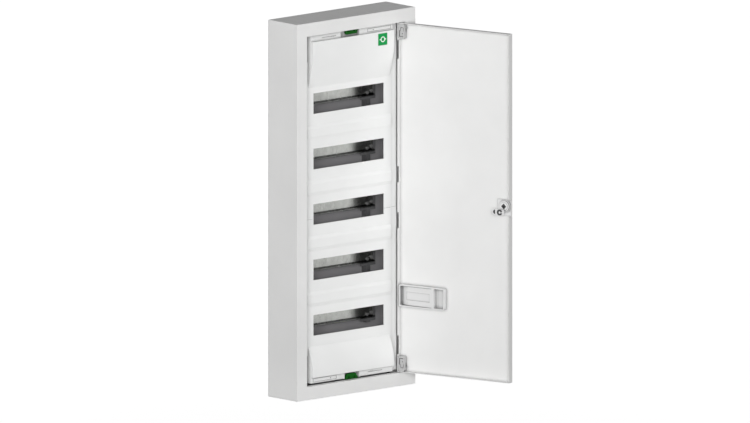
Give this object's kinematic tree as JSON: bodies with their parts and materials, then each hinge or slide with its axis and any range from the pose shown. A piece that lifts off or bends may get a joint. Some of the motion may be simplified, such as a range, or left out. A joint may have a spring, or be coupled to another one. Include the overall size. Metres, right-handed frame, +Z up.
{
  "type": "switchboard cabinet",
  "caption": "Wall-mounted sheet-steel switchboard cabinet with an inset hinged door, a moulded inner cover with windows, mounting rails and terminal bars.",
  "frame": {"origin": "centre of the back face, which lies against the wall, in the middle of the four wall-fixing holes", "axes": "+Z up, +Y into the wall, +X to the right seen from the front"},
  "size_m": [0.403, 0.3688, 0.85],
  "materials": {
    "painted_steel": "fine-textured light grey powder coat",
    "painted_door": "fine-textured light grey powder coat",
    "zinc": "bright zinc plated, satin",
    "galvanised": "galvanised sheet, satin",
    "cover_plastic": "fine-grained white moulded plastic",
    "clip_plastic": "white moulded plastic",
    "hinge_plastic": "light grey moulded plastic",
    "lock_grey": "light grey die-cast, painted",
    "dark_steel": "black passivated sheet",
    "green_plastic": "green moulded plastic",
    "label_green": "printed label, satin",
    "label_white": "printed label, satin",
    "brass": "plain drawn brass",
    "blue_plastic": "blue insulating plastic",
    "green_yellow_plastic": "green-yellow insulating plastic",
    "black_plastic": "black moulded plastic",
    "rear_grey": "dark grey primer",
    "grommet_rubber": "moulded rubber"
  },
  "bodies": {
    "cabinet": {"enclosure_shell": "painted_steel", "back_panel": "rear_grey", "gland_plate": "painted_steel", "gland_screws": "zinc", "cable_grommets": "grommet_rubber", "chassis_upright_left": "dark_steel", "chassis_upright_right": "dark_steel", "upright_screws": "zinc", "rail_brackets": "dark_steel", "rail_screws": "galvanised", "din_rail_1": "galvanised", "din_rail_2": "galvanised", "din_rail_3": "galvanised", "din_rail_4": "galvanised", "din_rail_5": "galvanised", "neutral_bar": "brass", "neutral_supports": "blue_plastic", "neutral_screws": "zinc", "earth_bar": "brass", "earth_supports": "green_yellow_plastic", "earth_screws": "zinc", "earth_stud": "zinc", "earth_nut": "zinc", "earth_washer": "zinc", "cover_upper": "cover_plastic", "cover_lower": "cover_plastic", "cover_catches": "galvanised", "label_plate": "label_green", "label_mark": "label_white", "hinge_bushes": "hinge_plastic"},
    "door": {"door_panel": "painted_door", "hinge_housing_top": "hinge_plastic", "hinge_housing_bottom": "hinge_plastic", "hinge_rivets": "zinc", "hinge_spring_top": "zinc", "hinge_spring_bottom": "zinc", "lock_housing": "lock_grey", "lock_plate": "lock_grey", "document_clip": "clip_plastic"},
    "lock_rotor": {"lock_rotor": "lock_grey", "lock_insert": "black_plastic", "lock_cam": "lock_grey", "lock_pad": "black_plastic", "lock_ring": "black_plastic"},
    "hinge_pin_top": {"hinge_pin_top": "zinc"},
    "hinge_pin_bottom": {"hinge_pin_bottom": "zinc"},
    "cover_latch_top": {"cover_latch_top": "green_plastic"},
    "cover_latch_bottom": {"cover_latch_bottom": "green_plastic"}
  },
  "joints": [
    {"name": "door_hinge", "type": "hinge", "parent": "cabinet", "child": "door", "pos_m": [0.1405, -0.0908, 0], "axis": [0, 0, 1], "range_deg": [-106, 6]},
    {"name": "lock_turn", "type": "hinge", "parent": "door", "child": "lock_rotor", "pos_m": [0.2191, -0.34966, 0.004], "axis": [-0.9613, -0.2756, 0], "range_deg": [0, 180]},
    {"name": "hinge_pin_top_slide", "type": "slide", "parent": "door", "child": "hinge_pin_top", "axis": [0, 0, -1], "range_m": [0, 0.008], "stiffness_N_per_m": 400, "springref_m": -0.01, "deforming": ["hinge_spring_top"]},
    {"name": "hinge_pin_bottom_slide", "type": "slide", "parent": "door", "child": "hinge_pin_bottom", "axis": [0, 0, 1], "range_m": [0, 0.008], "stiffness_N_per_m": 400, "springref_m": -0.01, "deforming": ["hinge_spring_bottom"]},
    {"name": "cover_latch_top_slide", "type": "slide", "parent": "cabinet", "child": "cover_latch_top", "axis": [0, 0, -1], "range_m": [0, 0.0045]},
    {"name": "cover_latch_bottom_slide", "type": "slide", "parent": "cabinet", "child": "cover_latch_bottom", "axis": [0, 0, 1], "range_m": [0, 0.0045]}
  ]
}
